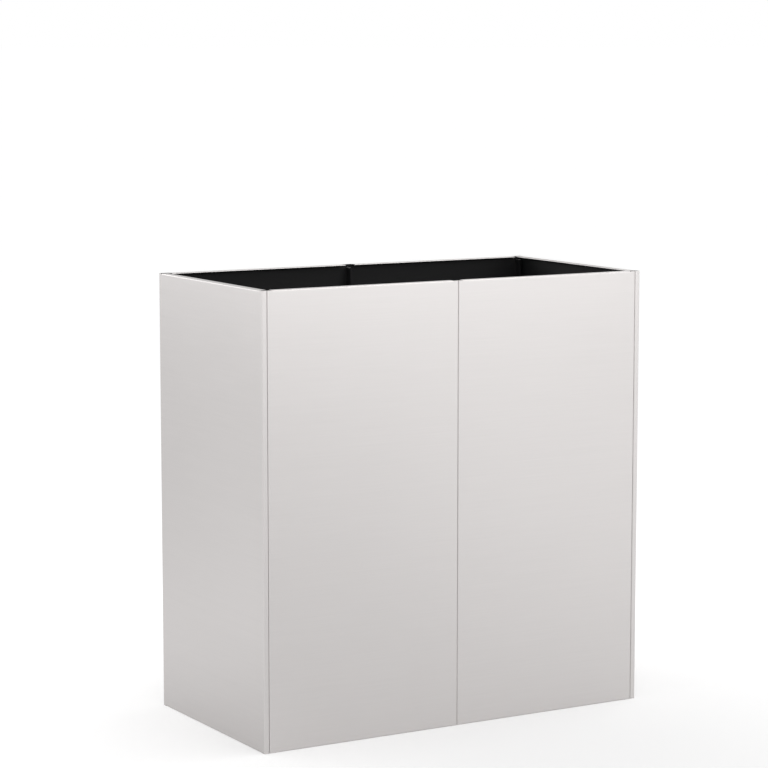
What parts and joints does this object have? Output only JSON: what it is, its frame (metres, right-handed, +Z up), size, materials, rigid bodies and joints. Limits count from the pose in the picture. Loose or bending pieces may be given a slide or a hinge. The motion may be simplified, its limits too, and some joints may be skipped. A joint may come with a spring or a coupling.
{
  "type": "floor planter",
  "caption": "Tall rectangular floor planter of folded brushed steel sheets, bolted at inward seam flanges, with a hemmed rim, an open top and a drained base plate.",
  "frame": {"origin": "on the floor under the middle of the box", "axes": "+X to the right seen from the front, -Y to the front, +Z up"},
  "size_m": [0.78, 0.4, 0.8],
  "materials": {
    "brushed_steel": "satin, fine level brushing outside; matt black coat on the inner faces",
    "black_coat": "matt black coat",
    "fastener_steel": "plain bright steel"
  },
  "bodies": {
    "root": {"front_left_panel": "brushed_steel", "front_right_panel": "brushed_steel", "rear_left_panel": "brushed_steel", "rear_right_panel": "brushed_steel", "left_side_panel": "brushed_steel", "right_side_panel": "brushed_steel", "base_plate": "black_coat", "cross_tie": "black_coat", "front_left_seam_bolts": "fastener_steel", "front_left_seam_nuts": "fastener_steel", "front_right_seam_bolts": "fastener_steel", "front_right_seam_nuts": "fastener_steel", "rear_left_seam_bolts": "fastener_steel", "rear_left_seam_nuts": "fastener_steel", "rear_right_seam_bolts": "fastener_steel", "rear_right_seam_nuts": "fastener_steel", "front_centre_seam_bolts": "fastener_steel", "front_centre_seam_nuts": "fastener_steel", "front_tie_bolt": "fastener_steel", "front_tie_nut": "fastener_steel", "rear_centre_seam_bolts": "fastener_steel", "rear_centre_seam_nuts": "fastener_steel", "rear_tie_bolt": "fastener_steel", "rear_tie_nut": "fastener_steel"}
  },
  "joints": []
}
